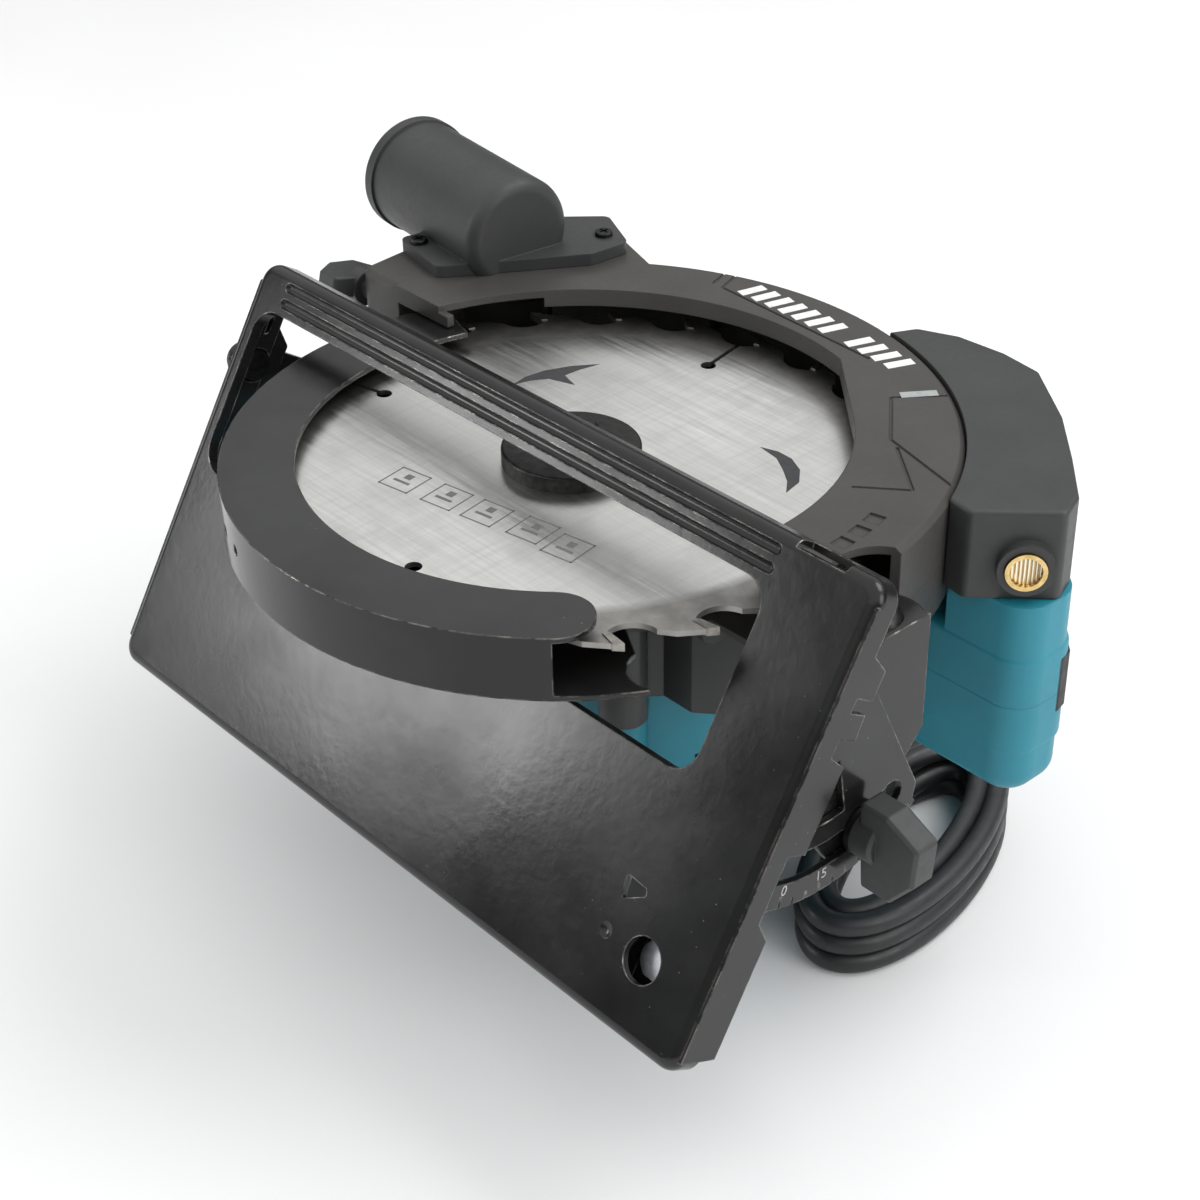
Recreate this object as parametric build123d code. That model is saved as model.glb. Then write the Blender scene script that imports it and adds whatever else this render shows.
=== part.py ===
"""Corded circular saw for a 185 mm blade, standing on its motor end with its cord coiled beside it.

Millimetres. Everything is modelled about the blade: x forward along the cut, y up from the base
plate towards the handle, z along the spindle towards the open side of the blade. save() then moves
each piece into the frame of the part, whose origin is the middle of the motor's end face.
"""
import os
from math import acos, cos, degrees, hypot, radians, sin, tan

from build123d import *

os.makedirs("parts", exist_ok=True)

# ---------------------------------------------------------------- driving dimensions
BLADE_R = 92.5
BLADE_T = 1.6
KERF_T = 2.4
TEETH = 24
TOOTH_PHASE = -33.3          # angle of one tooth tip
SLOT_PHASE = 102.2           # angle of one expansion slot
FLANGE_R = 19.4

MOTOR_Y = 29.0               # motor axis above the spindle
MOTOR_END = -150.0           # the face that the saw stands on
MOTOR_R = 44.0
SPLIT_Z = -62.0              # gear housing to motor housing
SCREW_Z = -34.0              # seat of the gear housing's screws
CAP_Z = -128.0               # motor housing to end cap
BRUSH_Z = -122.3
BRUSH_CAP_R = 5.5
GEAR_TEETH = 38
PINION_TEETH = 9
GEAR_MODULE = 2 * MOTOR_Y / (GEAR_TEETH + PINION_TEETH)
SPINDLE_R = 7.5
ROTOR_R = 23.0
FIT = 0.05                   # radial clearance of a running fit

GUARD_R = 96.2               # moving guard
GUARD_TOP = 5.9
GUARD_BOTTOM = -12.4
SHEET = 1.5
COVER_R = 106.5              # fixed guard
COVER_TOP = 12.0
SHELL_BACK = -20.0
COVER_SPLIT = -6.0

BEVEL = 31.2                 # bevel at rest
BEVEL_Y = -22.0              # bevel axis, along x
BEVEL_Z = -8.0
BASE_DROP = 9.0              # bevel axis above the sole
BASE_T = 2.0
BASE_REAR = -124.0
BASE_FRONT = 126.0
BASE_OUT = -32.3             # outer edge, measured from the bevel axis
BASE_IN = 99.2               # motor-side edge
WINDOW_REAR = -118.5
WINDOW_FRONT = 95.5
WINDOW_OUT = -18.7
WINDOW_IN = 33.1
CLAMP_X = 104.0              # fence clamp screw
CLAMP_Y = 78.7
FLANGE_H = 14.5
SIDE_H = 8.0

PLATE_X = 118.0              # rear face of the bevel quadrant
QUADRANT_R = 57.0
SLOT_R = 46.0
SLOT_W = 8.0
KNOB_ANGLE = 46.4            # clamp screw's place along the slot at rest

DEPTH_X = 110.0              # depth pivot, along z
DEPTH_Y = 4.2
DEPTH_PIN_R = 3.0
DEPTH_ARC_R = 212.0          # depth guide's slot, about the depth pivot
DEPTH_KNOB = (24.5, 2.0)     # depth clamp knob's axis, in y and z

PORT_END = (-150.0, 64.0, 22.0)
PORT_R = 18.0
PORT_SOCKET = 25.0           # depth of the wider mouth that takes a hose
PORT_TURN = -7.5

HANDLE_MID = -46.0
HANDLE_T = 17.0              # half thickness of the rear handle
PORT_SCREWS = [(-116, 38.5), (-80, 84)]
HANDLE_SCREWS = [(-92, 100), (-60, 122), (60, 96), (96, 62)]

CORD_R = 3.5
CORD_Z = MOTOR_END + CORD_R
CORD_START = -97.0           # free end of the strain relief
CORD_EXIT = (-92.0, 76.0)    # place of the strain relief in the handle
COIL_X = 64.0
COIL_Y = 76.4
COIL_LONG = 57.0             # outer half length
COIL_SHORT = 27.5            # outer half width
COIL_BAND = 15.0             # width of the two columns of cord
COIL_TURN = 107.0
COIL_H = 21.0                # three layers of cord

MIN_Z = (Align.CENTER, Align.CENTER, Align.MIN)


# ---------------------------------------------------------------- helpers
def save(name, *pieces):
    """Write one node, moved from the blade's frame to the part's frame."""
    shift = Location((0, -MOTOR_Y, -MOTOR_END))
    solids = []
    for piece in pieces:
        solids.extend(piece.solids())
    export_step(Compound(children=[solid.moved(shift) for solid in solids]), f"parts/{name}.step")


def disc(radius, low, high, x=0.0, y=0.0):
    """Cylinder along z between two heights."""
    return Pos(x, y, (low + high) / 2) * Cylinder(radius, high - low)


def ring(outer, inner, low, high, x=0.0, y=0.0):
    """Tube along z between two heights."""
    return disc(outer, low, high, x, y) - disc(inner, low - 1, high + 1, x, y)


def block(x0, x1, y0, y1, z0, z1):
    """Box between six planes."""
    return Pos((x0 + x1) / 2, (y0 + y1) / 2, (z0 + z1) / 2) * Box(x1 - x0, y1 - y0, z1 - z0)


def rod(radius, start, end):
    """Cylinder between two points."""
    line = Vector(*end) - Vector(*start)
    return extrude(Plane(origin=start, z_dir=line.normalized()) * Circle(radius), line.length)


def slab(points, low, high, round_by=0.0):
    """Flat outline in x and y, extruded between two heights, with round corners."""
    face = make_face(Polyline(*points, close=True))
    if round_by:
        face = fillet(face.vertices(), round_by)
    return extrude(Pos(0, 0, low) * face, high - low)


def polar(radius, angle, x=0.0, y=0.0):
    """Point at an angle in degrees."""
    return (x + radius * cos(radians(angle)), y + radius * sin(radians(angle)))


CLAMP = polar(DEPTH_ARC_R, 172.5, DEPTH_X, DEPTH_Y)
GUARD_SCREWS = [polar(100.8, angle) for angle in (40, 80, 115)]


def sector(radius, start, end, low, high, x=0.0, y=0.0):
    """Pie slice from an axis along z between two angles."""
    steps = max(2, int(abs(end - start) / 45) + 1)
    far = radius / cos(radians((end - start) / steps / 2)) * 1.01
    points = [(x, y)]
    for step in range(steps + 1):
        points.append(polar(far, start + (end - start) * step / steps, x, y))
    return slab(points, low, high)


def arc_slot(radius, width, start, end, low, high, x=0.0, y=0.0):
    """Curved slot with round ends."""
    inner = radius - width / 2
    band = ring(radius + width / 2, inner, low, high, x, y)
    band &= sector(radius + width, start, end, low, high, x, y)
    ends = [disc(width / 2, low, high, *polar(radius, angle, x, y)) for angle in (start, end)]
    return band + ends[0] + ends[1]


def hex_bolt(across, head, radius, length):
    """Hex bolt whose head stands on z = 0 and whose shank goes down."""
    cap = extrude(RegularPolygon(across / 2, 6, major_radius=False), head)
    cap &= Cone(across * 0.9, across * 0.5, head * 1.001, align=MIN_Z)
    return cap + disc(radius, -length, 0.5)


def pan_screw(radius, head, shank, length):
    """Cross-head screw whose head stands on z = 0 and whose shank goes down."""
    cap = Cylinder(radius, head, align=MIN_Z)
    cap = fillet(cap.edges().group_by(Axis.Z)[-1], head * 0.4)
    cross = Box(radius * 1.2, radius * 0.28, head) + Box(radius * 0.28, radius * 1.2, head)
    return cap + disc(shank, -length, 0.3) - Pos(0, 0, head) * cross


def facing_x(shape, x, y, z):
    """Turn a shape made along z so that its z points along +x, at a place."""
    return Pos(x, y, z) * Rot(0, 90, 0) * shape


def base_frame(shape):
    """Place a piece drawn flat: x forward, y towards the motor, z up, from the bevel axis."""
    up = (0, cos(radians(BEVEL)), -sin(radians(BEVEL)))
    plane = Plane(origin=(0, BEVEL_Y, BEVEL_Z), x_dir=(1, 0, 0), z_dir=up)
    return plane.location * shape


def plate_frame(shape):
    """Place a piece drawn as the base seen from the front: x towards the motor, y up, z forward."""
    plane = Plane(origin=(0, 0, 0), x_dir=(0, 1, 0), z_dir=(1, 0, 0))
    return base_frame(plane.location * shape)


# ---------------------------------------------------------------- blade and drive
def tooth_outline():
    """Blade outline: a hook and a gullet for each tooth."""
    pitch = 360 / TEETH
    edges = []
    for index in range(TEETH):
        tip = TOOTH_PHASE + index * pitch
        point = polar(BLADE_R, tip)
        root = polar(BLADE_R - 6.6, tip - 2.2)
        floor = polar(BLADE_R - 9.2, tip + 1.6)
        rise = polar(BLADE_R - 5.0, tip + 5.8)
        back = polar(BLADE_R - 2.6, tip + 8.6)
        following = polar(BLADE_R, tip + pitch)
        edges.append(Line(point, root))
        edges.append(ThreePointArc(root, floor, rise))
        edges.append(Line(rise, back))
        edges.append(Line(back, following))
    return make_face(edges)


def carbide_tip(angle):
    """One brazed tip, wider than the plate, behind the tooth's cutting face."""
    outline = [
        polar(BLADE_R, angle), polar(BLADE_R - 5.4, angle - 1.8),
        polar(BLADE_R - 5.4, angle - 3.1), polar(BLADE_R - 0.75, angle - 1.9),
    ]
    return slab(outline, -KERF_T / 2, KERF_T / 2)


def gear(teeth, bore, low, high, first):
    """Straight-cut gear with simple sloping flanks and one tooth at the first angle."""
    pitch_r = GEAR_MODULE * teeth / 2
    tip_r = pitch_r + GEAR_MODULE * 0.8
    root_r = pitch_r - GEAR_MODULE * 1.15
    step = 360 / teeth
    points = []
    for index in range(teeth):
        middle = first + index * step
        for radius, part in ((root_r, -0.28), (tip_r, -0.10), (tip_r, 0.10), (root_r, 0.28)):
            points.append(polar(radius, middle + part * step))
    return slab(points, low, high) - disc(bore, low - 1, high + 1)


def make_spindle_group():
    plate = extrude(Pos(0, 0, -BLADE_T / 2) * tooth_outline(), BLADE_T) - disc(10, -2, 2)
    for quarter in range(4):
        angle = SLOT_PHASE + 90 * quarter
        plate -= disc(2.3, -2, 2, *polar(67.7, angle))
        plate -= Rot(0, 0, angle) * block(67.7, BLADE_R + 2, -0.7, 0.7, -2, 2)
    tips = [carbide_tip(TOOTH_PHASE + index * 360 / TEETH) for index in range(TEETH)]
    for tip in tips:
        plate -= tip
    save("blade", plate)
    save("blade_tips", *tips)
    spindle = disc(SPINDLE_R, -50, -0.8) + disc(5, -61.3, -50) + disc(11, -8.4, -5.0)
    save("spindle", spindle - disc(4, -17.2, 1))
    save("inner_flange", ring(FLANGE_R, SPINDLE_R, -5.0, -0.8) + ring(10, 4.2, -0.8, 0.6))
    flange = disc(FLANGE_R, 0.8, 5.4)
    flange = fillet(flange.edges().group_by(Axis.Z)[-1], 0.8) - disc(4, 0, 6)
    save("outer_flange", flange)
    save("blade_bolt", disc(8, 5.4, 6.8) + Pos(0, 0, 6.8) * hex_bolt(13, 4.8, 4, 22))
    save("driven_gear", gear(GEAR_TEETH, SPINDLE_R, -48, -36, 90))


def make_rotor_group():
    axis = Pos(0, MOTOR_Y, 0)
    shaft = disc(4, -145.3, -35) + disc(5, -75, -55) + disc(6, -130, -75)
    save("armature_shaft", axis * shaft)
    save("pinion", axis * gear(PINION_TEETH, 4, -49, -36, -90 + 180 / PINION_TEETH))
    core = ring(ROTOR_R, 6, -116, -78)
    for index in range(12):
        core -= Rot(0, 0, 30 * index) * block(ROTOR_R - 8, ROTOR_R + 1, -1.2, 1.2, -120, -74)
    save("armature_core", axis * core)
    bars = ring(13, 6, -131, -118.5)
    for index in range(24):
        bars -= Rot(0, 0, 15 * index) * block(12, 14, -0.35, 0.35, -132, -117)
    save("commutator", axis * bars)
    fan = ring(9, 5, -74.5, -64.5) + ring(34, 8, -74.5, -73)
    for index in range(14):
        fan += Rot(0, 0, index * 360 / 14) * block(12, 33.5, -0.8, 0.8, -73.2, -65)
    save("cooling_fan", axis * fan)


def bearing(outer, inner, low, high, x=0.0, y=0.0):
    """Shielded ball bearing drawn as one ring with grooved faces."""
    whole = ring(outer, inner, low, high, x, y)
    groove_out = inner + (outer - inner) * 0.72
    groove_in = inner + (outer - inner) * 0.30
    for z0, z1 in ((low - 1, low + 0.5), (high - 0.5, high + 1)):
        whole -= ring(groove_out, groove_in, z0, z1, x, y)
    return whole


# ---------------------------------------------------------------- motor and gear housings
def lobe(radius, spindle_radius, low, high):
    """Outline round the motor axis and the spindle, joined by straight flanks."""
    big = Pos(0, MOTOR_Y, low) * Circle(radius)
    small = Pos(0, 0, low) * Circle(spindle_radius)
    return extrude(make_hull(big.edges() + small.edges()), high - low)


def boss_places():
    """Centres of the four screw bosses round the motor."""
    return [polar(MOTOR_R + 3.0, angle, 0, MOTOR_Y) for angle in (-52, 52, 128, 232)]


def make_gear_housing():
    case = lobe(MOTOR_R, 27.0, SPLIT_Z, -38) + lobe(32, 27.0, -38, SHELL_BACK)
    case += disc(23.6, SHELL_BACK, -9.2)
    case -= lobe(13, 25.2, -54.5, -23)
    case -= disc(34, SPLIT_Z - 1, -54.4, 0, MOTOR_Y) - disc(16, -62, -54, 0, 0)
    case += ring(16, 11, SPLIT_Z, -54.4, 0, MOTOR_Y)
    case += disc(14, SPLIT_Z, -54.4)
    case -= disc(9.5, -61.5, -54)
    case -= disc(11, -63, -54, 0, MOTOR_Y)
    case -= disc(16, -20, -8) + disc(12, -24, -19)
    for x, y in boss_places():
        case += disc(7, SPLIT_Z - 5, -30, x, y)
        case -= disc(2.1, SPLIT_Z - 6, -33, x, y) + disc(3.6, SCREW_Z, -19, x, y)
    case += slab([(30, 2), (46, 2), (58, 12), (58, 16), (30, 16)], SPLIT_Z, -24)
    case -= lobe(13, 25.2, -54.5, -23) + lock_pin(FIT) + rod(6.4, (45.6, 4, -29.5), (62, 4, -29.5))
    save("gear_housing", case)
    save("spindle_bearings", bearing(16, SPINDLE_R + FIT, -20, -10.5),
         bearing(9.5, 5 + FIT, -61.5, -54.6))
    save("armature_bearings", bearing(11, 5 + FIT, -62, -55, 0, MOTOR_Y),
         bearing(11, 4 + FIT, -145.5, -138.5, 0, MOTOR_Y))


def lock_pin(gap=0.0):
    """Spindle lock plunger, pressed towards the spindle from the front of the gear housing."""
    return rod(3 + gap, (22.5, 4, -29.5), (60 + 2 * gap, 4, -29.5))


def make_motor():
    barrel = disc(MOTOR_R, CAP_Z, SPLIT_Z, 0, MOTOR_Y)
    barrel += block(-30, 30, 60, 78, -96, SPLIT_Z)
    barrel -= disc(35.5, CAP_Z - 1, SPLIT_Z + 1, 0, MOTOR_Y)
    for x, y in boss_places():
        column = disc(6.4, SPLIT_Z - 32, SPLIT_Z - 5.3, x, y)
        barrel += column - disc(35.5, CAP_Z, SPLIT_Z, 0, MOTOR_Y)
        barrel -= disc(7.3, SPLIT_Z - 5.3, SPLIT_Z + 1, x, y)
        barrel -= disc(2.1, SPLIT_Z - 20, SPLIT_Z, x, y)
    for side in (-1, 1):
        for row in range(4):
            slot = block(0, 60, -1.4, 1.4, -100, -84)
            turn = (90 - 90 * side) + side * (-24 + 16 * row)
            barrel -= Pos(0, MOTOR_Y, 0) * Rot(0, 0, turn) * slot
    barrel -= Pos(0, MOTOR_Y, BRUSH_Z) * Rot(0, 90, 0) * Cylinder(BRUSH_CAP_R, 120)
    save("motor_housing", barrel)

    cap = disc(MOTOR_R - 1.5, MOTOR_END, CAP_Z, 0, MOTOR_Y)
    cap = fillet(cap.edges().group_by(Axis.Z)[0], 7)
    cap -= disc(31, MOTOR_END + 4.5, CAP_Z + 1, 0, MOTOR_Y)
    cap += ring(14, 11, MOTOR_END + 4, -138.5, 0, MOTOR_Y)
    for index in range(8):
        vent = Rot(0, 0, 45 * index + 22.5) * block(19, 27, -1.3, 1.3, MOTOR_END - 1, MOTOR_END + 6)
        cap -= Pos(0, MOTOR_Y, 0) * vent
    save("motor_end_cap", cap)
    laminations = ring(35.5, ROTOR_R + 0.6, -114, -80, 0, MOTOR_Y)
    for angle in (0, 90, 180, 270):
        coil = ring(33, 26, -116.5, -76.5) & sector(40, angle - 30, angle + 30, -118, -76)
        laminations += Pos(0, MOTOR_Y, 0) * coil
    save("stator", laminations)
    brushes = []
    caps = []
    for side in (-1, 1):
        brushes.append(Pos(side * 19.7, MOTOR_Y, BRUSH_Z) * Box(12.6, 6, 7))
        stem = rod(BRUSH_CAP_R, (side * 27, MOTOR_Y, BRUSH_Z), (side * 43.2, MOTOR_Y, BRUSH_Z))
        caps.append(stem - Pos(side * 43.2, MOTOR_Y, BRUSH_Z) * Box(2.4, 8, 1.6))
    save("carbon_brushes", *brushes)
    save("brush_caps", *caps)
    screws = [Pos(x, y, SCREW_Z) * pan_screw(3.3, 2.4, 2, 40) for x, y in boss_places()]
    save("gear_housing_screws", *screws)


# ---------------------------------------------------------------- guards
def cover_outline(radius):
    """Outline of the fixed guard: round, with the dust port's seat behind."""
    seat = [(-40, 80), (-84, 95), (-123, 38), (-121, 19), (-70, 19), (-40, 40)]
    seat_face = fillet(make_face(Polyline(*seat, close=True)).vertices(), 4)
    return Sketch() + Circle(radius) + seat_face


def cover_window(margin, low, high):
    """Opening of the fixed guard over the blade, with one straight stretch, less a margin."""
    wide = disc(84.5 + margin, low, high) & sector(95, 73, 260, low, high)
    narrow = disc(77.0 + margin, low, high) & sector(95, -110, 50, low, high)
    chord = [(0, 0), polar(84.5 + margin, 73.2), polar(77.0 + margin, 49.5)]
    return wide + narrow + slab(chord, low, high)


def guard_keep(low, high, centre_low):
    """Part of the plane that the fixed guard covers: open below the blade's middle."""
    points = [
        (-140, 19), (-64, 19), (-50, centre_low), (50, centre_low), (64, -8), (124, -8),
        (124, 140), (-140, 140),
    ]
    return slab(points, low, high)


def make_fixed_guard():
    inner_r = COVER_R - 2.5
    shell = extrude(Pos(0, 0, SHELL_BACK) * cover_outline(COVER_R), COVER_SPLIT - SHELL_BACK)
    shell -= disc(inner_r, SHELL_BACK + 2, 0)
    shell -= slab([(-60, 40), (-92, 72), (-113, 52), (-112, 24), (-70, 22)], -16, 0, 3)
    shell &= guard_keep(-30, 0, -27)
    shell -= disc(23.6, -30, 0)
    boss = disc(5.4, -37.7, -2.3, DEPTH_X, DEPTH_Y) + block(98, DEPTH_X, -0.6, 9, SHELL_BACK, -7)
    shell += boss - disc(102, SHELL_BACK + 2, 0)
    shell -= disc(DEPTH_PIN_R + FIT, -50, 0, DEPTH_X, DEPTH_Y)
    for x, y in GUARD_SCREWS:
        shell -= disc(1.9, -30, 0, x, y)
    shell -= disc(3.1, -30, -10, *CLAMP)
    save("upper_guard", shell)

    cover = extrude(Pos(0, 0, COVER_SPLIT) * cover_outline(COVER_R), COVER_TOP - COVER_SPLIT)
    outer_edge = cover.edges().group_by(Axis.Z)[-1]
    cover = chamfer(outer_edge, 1.6)
    cover -= disc(inner_r, COVER_SPLIT - 1, 6.5) + (disc(inner_r, 6, 9.6) - cover_window(2, 5, 12))
    cover -= slab([(-60, 40), (-90, 72), (-106, 50), (-100, 22), (-70, 22)], -10, 9.6, 3)
    cover -= cover_window(0, 0, 20)
    cover &= guard_keep(-10, 20, -7)
    cover += block(-104, -78, 19, 21.5, 6.4, 9.8)
    cover -= x_rod(3.5, -130, -112, DEPTH_KNOB)
    cover -= disc(13.2, -10, 20, DEPTH_X, DEPTH_Y)
    cover -= slab([(-118, 58), (-88, 56), (-84, 74), (-96, 76)], 5, 20, 3)
    cover -= cover_marks()
    for x, y in GUARD_SCREWS:
        cover += disc(4.2, COVER_SPLIT, 10, x, y) & disc(105, -10, 12) - disc(98, -10, 12)
        cover -= disc(1.9, -10, 6, x, y)
    for x, y in PORT_SCREWS:
        cover -= disc(1.85, COVER_TOP - 3, COVER_TOP + 1, x, y)
    save("guard_cover", cover)
    screws = []
    for x, y in GUARD_SCREWS:
        screws.append(Pos(x, y, SHELL_BACK) * Rot(180, 0, 0) * pan_screw(3.4, 2.2, 1.9, 18))
    for x, y in PORT_SCREWS:
        screws.append(Pos(x, y, COVER_TOP + 4) * pan_screw(2.8, 1.5, 1.85, 6))
    save("guard_screws", *screws)


def groove(start, end, width):
    """Shallow cut in the cover's face between two points."""
    length = hypot(end[0] - start[0], end[1] - start[1])
    turn = degrees(acos((end[0] - start[0]) / length))
    if end[1] < start[1]:
        turn = -turn
    cutter = block(0, length, -width / 2, width / 2, COVER_TOP - 0.5, COVER_TOP + 1)
    return Pos(start[0], start[1], 0) * Rot(0, 0, turn) * cutter


def cover_marks():
    """Panel lines and three small square marks sunk into the cover's face."""
    lines = [
        ((-40, 99), (-37, 90)), ((-36, 99), (-33, 90)), ((-33, 90), (30, 87)), ((50, 74), (60, 86)),
        ((50, 74), (66, 56)), ((66, 56), (93, 49)), ((70, 54), (88, 40)), ((76, 30), (88, 40)),
    ]
    marks = groove(*lines[0], 0.9)
    for start, end in lines[1:]:
        marks += groove(start, end, 0.9)
    for step in range(3):
        x, y = polar(93.5, 5 + step * 4.4)
        square = block(-2.3, 2.3, -2.3, 2.3, COVER_TOP - 0.6, COVER_TOP + 1)
        marks += Pos(x, y, 0) * Rot(0, 0, 5 + step * 4.4) * square
    return marks


def make_moving_guard():
    start, end = 163, 316
    rim = ring(GUARD_R, GUARD_R - SHEET, GUARD_BOTTOM, GUARD_TOP) & sector(100, start, end, -15, 8)
    lip = ring(GUARD_R, 75.5, GUARD_TOP - SHEET, GUARD_TOP) & sector(100, start, end, 0, 8)
    nose = disc(10.3, GUARD_TOP - SHEET, GUARD_TOP, *polar(85.9, end))
    lip += nose & disc(GUARD_R, 0, 8)
    web = disc(GUARD_R, GUARD_BOTTOM, GUARD_BOTTOM + SHEET) & sector(100, start, 330, -15, 0)
    web += disc(29, GUARD_BOTTOM, GUARD_BOTTOM + SHEET)
    web -= disc(10, -20, 0, *polar(88, 334))
    guard = rim + lip + web - disc(23.6 + FIT, -20, 0)
    for angle in (246, 252.5):
        guard -= rod(1.7, (*polar(90, angle), -3), (*polar(100, angle), -3))
    save("lower_guard", guard)
    lever = slab([(0, -6), (37, -6), (40, 0), (37, 6), (0, 6)], GUARD_BOTTOM - 2.2, GUARD_BOTTOM, 2)
    place = Rot(0, 0, 190) * Pos(57, 0, 0)
    lever = place * (lever + disc(2.6, -16, GUARD_BOTTOM - 2, 8, 0) + disc(2.6, -16, -14, 24, 0))
    save("guard_lever", lever)
    wire = 0.8
    coils = Pos(0, 0, -13.4) * Torus(25.2, wire)
    for turn in range(1, 4):
        coils += Pos(0, 0, -13.4 - turn * 1.25) * Torus(25.2, wire)
    save("guard_spring", coils)
    retainer = ring(26.2, 23.6, GUARD_BOTTOM + SHEET + 0.3, GUARD_BOTTOM + SHEET + 1.4)
    save("guard_retaining_ring", retainer - block(0, 30, -2.5, 2.5, -15, 0))


# ---------------------------------------------------------------- dust port and laser
def make_dust_port():
    x, y, z = PORT_END
    length = 64
    tube = disc(PORT_R, 0, length)
    tube = fillet(tube.edges().group_by(Axis.Z)[-1], 4)
    tube += disc(PORT_R + 0.8, 0, 4)
    place = Pos(x, y, z) * Rot(0, 0, PORT_TURN) * Rot(0, 90, 0)
    port = place * tube
    bore = place * (disc(PORT_R - 2.2, -1, PORT_SOCKET) + disc(PORT_R - 3.4, 0, length - 3))
    seat = [
        (-123, 36), (-98, 31), (-72, 72), (-71, 86), (-90, 95), (-100, 84), (-118, 60),
    ]
    flange = slab(seat, COVER_TOP, COVER_TOP + 4, 3)
    clear_of_cover = block(-124, 0, 0, 120, -10, COVER_TOP)
    port = (port + flange - clear_of_cover) - bore
    port -= slab([(-116, 58), (-88, 56), (-85, 72), (-96, 74)], 5, 20, 3)
    for px, py in PORT_SCREWS:
        port -= disc(1.9, 0, 20, px, py)
    save("dust_port", port)


def make_laser():
    outline = [
        (20, 100), (26, 112), (38, 117), (54, 118), (68, 116), (89, 100), (105, 84), (119, 69),
        (122.5, 60), (105, 42.5), (95, 44),
    ]
    body = slab(outline, -14, COVER_TOP, 2.5)
    body = fillet(body.edges().group_by(Axis.Z)[-1], 1.2)
    body -= disc(COVER_R + 0.3, -30, 30)
    turn = -45
    centre = (116.2, 52.8, -4.0)
    place = Pos(*centre) * Rot(0, 0, turn) * Rot(0, 90, 0)
    body -= place * disc(6.1, -16, 6)
    body += place * (ring(7.6, 5.6, -3, 2.2))
    save("laser_housing", body)
    barrel = ring(5.5, 4.3, -14, 3.0) + ring(5.5, 2, -14, -6)
    save("laser_barrel", place * barrel)
    lens = disc(4.25, -1.2, 1.6)
    save("laser_lens", place * lens)


# ---------------------------------------------------------------- base
def base_outline_holes():
    """Everything that is cut from the base's flat sheet."""
    low, high = -BASE_DROP - 3, 12
    window = [
        (WINDOW_REAR, WINDOW_OUT), (WINDOW_FRONT, WINDOW_OUT),
        (WINDOW_FRONT, WINDOW_IN), (WINDOW_REAR, WINDOW_IN),
    ]
    holes = slab(window, low, high, 8)
    holes += slab([(89.8, 62.2), (90.7, 68.4), (97.6, 64.4), (97, 62.8)], low, high, 0.7)
    holes += disc(6, low, high, CLAMP_X, CLAMP_Y)
    holes += block(98, 114, BASE_OUT - 2, BASE_OUT + 2.2, low, -BASE_DROP + 6.5)
    return holes


def make_base():
    sole = -BASE_DROP
    top = sole + BASE_T
    pan = block(BASE_REAR, BASE_FRONT, BASE_OUT, BASE_IN, sole, sole + SIDE_H)
    pan = fillet(upright_edges(pan), 6)
    pan = fillet(pan.edges().group_by(Axis.Z)[0], 3.2)
    inner = block(
        BASE_REAR + BASE_T, BASE_FRONT - BASE_T, BASE_OUT + BASE_T, BASE_IN - BASE_T, top, 20
    )
    inner = fillet(upright_edges(inner), 4.5)
    inner = fillet(inner.edges().group_by(Axis.Z)[0], 1.6)
    pan -= inner
    window = slab([
        (WINDOW_REAR - 2, WINDOW_OUT - 2), (WINDOW_FRONT + 2, WINDOW_OUT - 2),
        (WINDOW_FRONT + 2, WINDOW_IN + 2), (WINDOW_REAR - 2, WINDOW_IN + 2),
    ], sole, sole + 3.8, 10)
    pan += window
    pan -= base_outline_holes()
    for across in (-22.4, -27.4):
        pan -= rod(1.6, (-109, across, sole - 0.5), (93, across, sole - 0.5))
        for end in (-109, 93):
            pan -= Pos(end, across, sole - 0.5) * Sphere(1.6)
    pan -= Pos(90.2, 77.7, sole - 3.4) * Sphere(4)
    pan += front_flange() + rear_flange()
    pan -= rod(5.4, (BASE_REAR - 1, 0, 0), (BASE_REAR + 3, 0, 0))
    save("base_plate", base_frame(pan))


def upright_edges(shape):
    """Edges along z of a shape."""
    return shape.edges().filter_by(Axis.Z)


def flange_points():
    """Upper edge of the front flange, from the outer corner to the motor side."""
    sole = -BASE_DROP
    return [
        (-26, sole + 1), (-26, sole + 7), (-15, sole + 7), (-11.5, sole + FLANGE_H),
        (-3.4, sole + FLANGE_H), (-3.6, sole + 3.4), (0.2, sole + 3.0), (0.2, sole + 14),
        (6.8, sole + FLANGE_H), (7.4, sole + 3.4), (10.6, sole + 3.2), (14, sole + FLANGE_H),
        (37.6, sole + FLANGE_H), (38.6, sole + 7), (55.2, sole + 6.4), (61, sole + 13.8),
        (94, sole + 13.8), (95, sole + 1),
    ]


def front_flange():
    """Notched flange turned up along the base's front edge."""
    face = make_face(Polyline(*flange_points(), close=True))
    plane = Plane(origin=(BASE_FRONT - BASE_T, 0, 0), x_dir=(0, 1, 0), z_dir=(1, 0, 0))
    return plane.location * extrude(face, BASE_T)


def rear_flange():
    """Taller flange along the rear edge, with three round openings."""
    sole = -BASE_DROP
    points = [(-26, sole + 1), (-24, sole + 13), (24, sole + 13), (90, sole + 9), (93, sole + 1)]
    face = fillet(make_face(Polyline(*points, close=True)).vertices(), 0.8)
    plane = Plane(origin=(BASE_REAR, 0, 0), x_dir=(0, 1, 0), z_dir=(1, 0, 0))
    flange = extrude(face, BASE_T)
    for across in (-16, 60):
        flange -= slab([
            (across - 6, sole + 4.5), (across + 6, sole + 4.5),
            (across + 6, sole + 9.5), (across - 6, sole + 9.5),
        ], -1, 4, 2.2)
    return plane.location * flange


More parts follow.
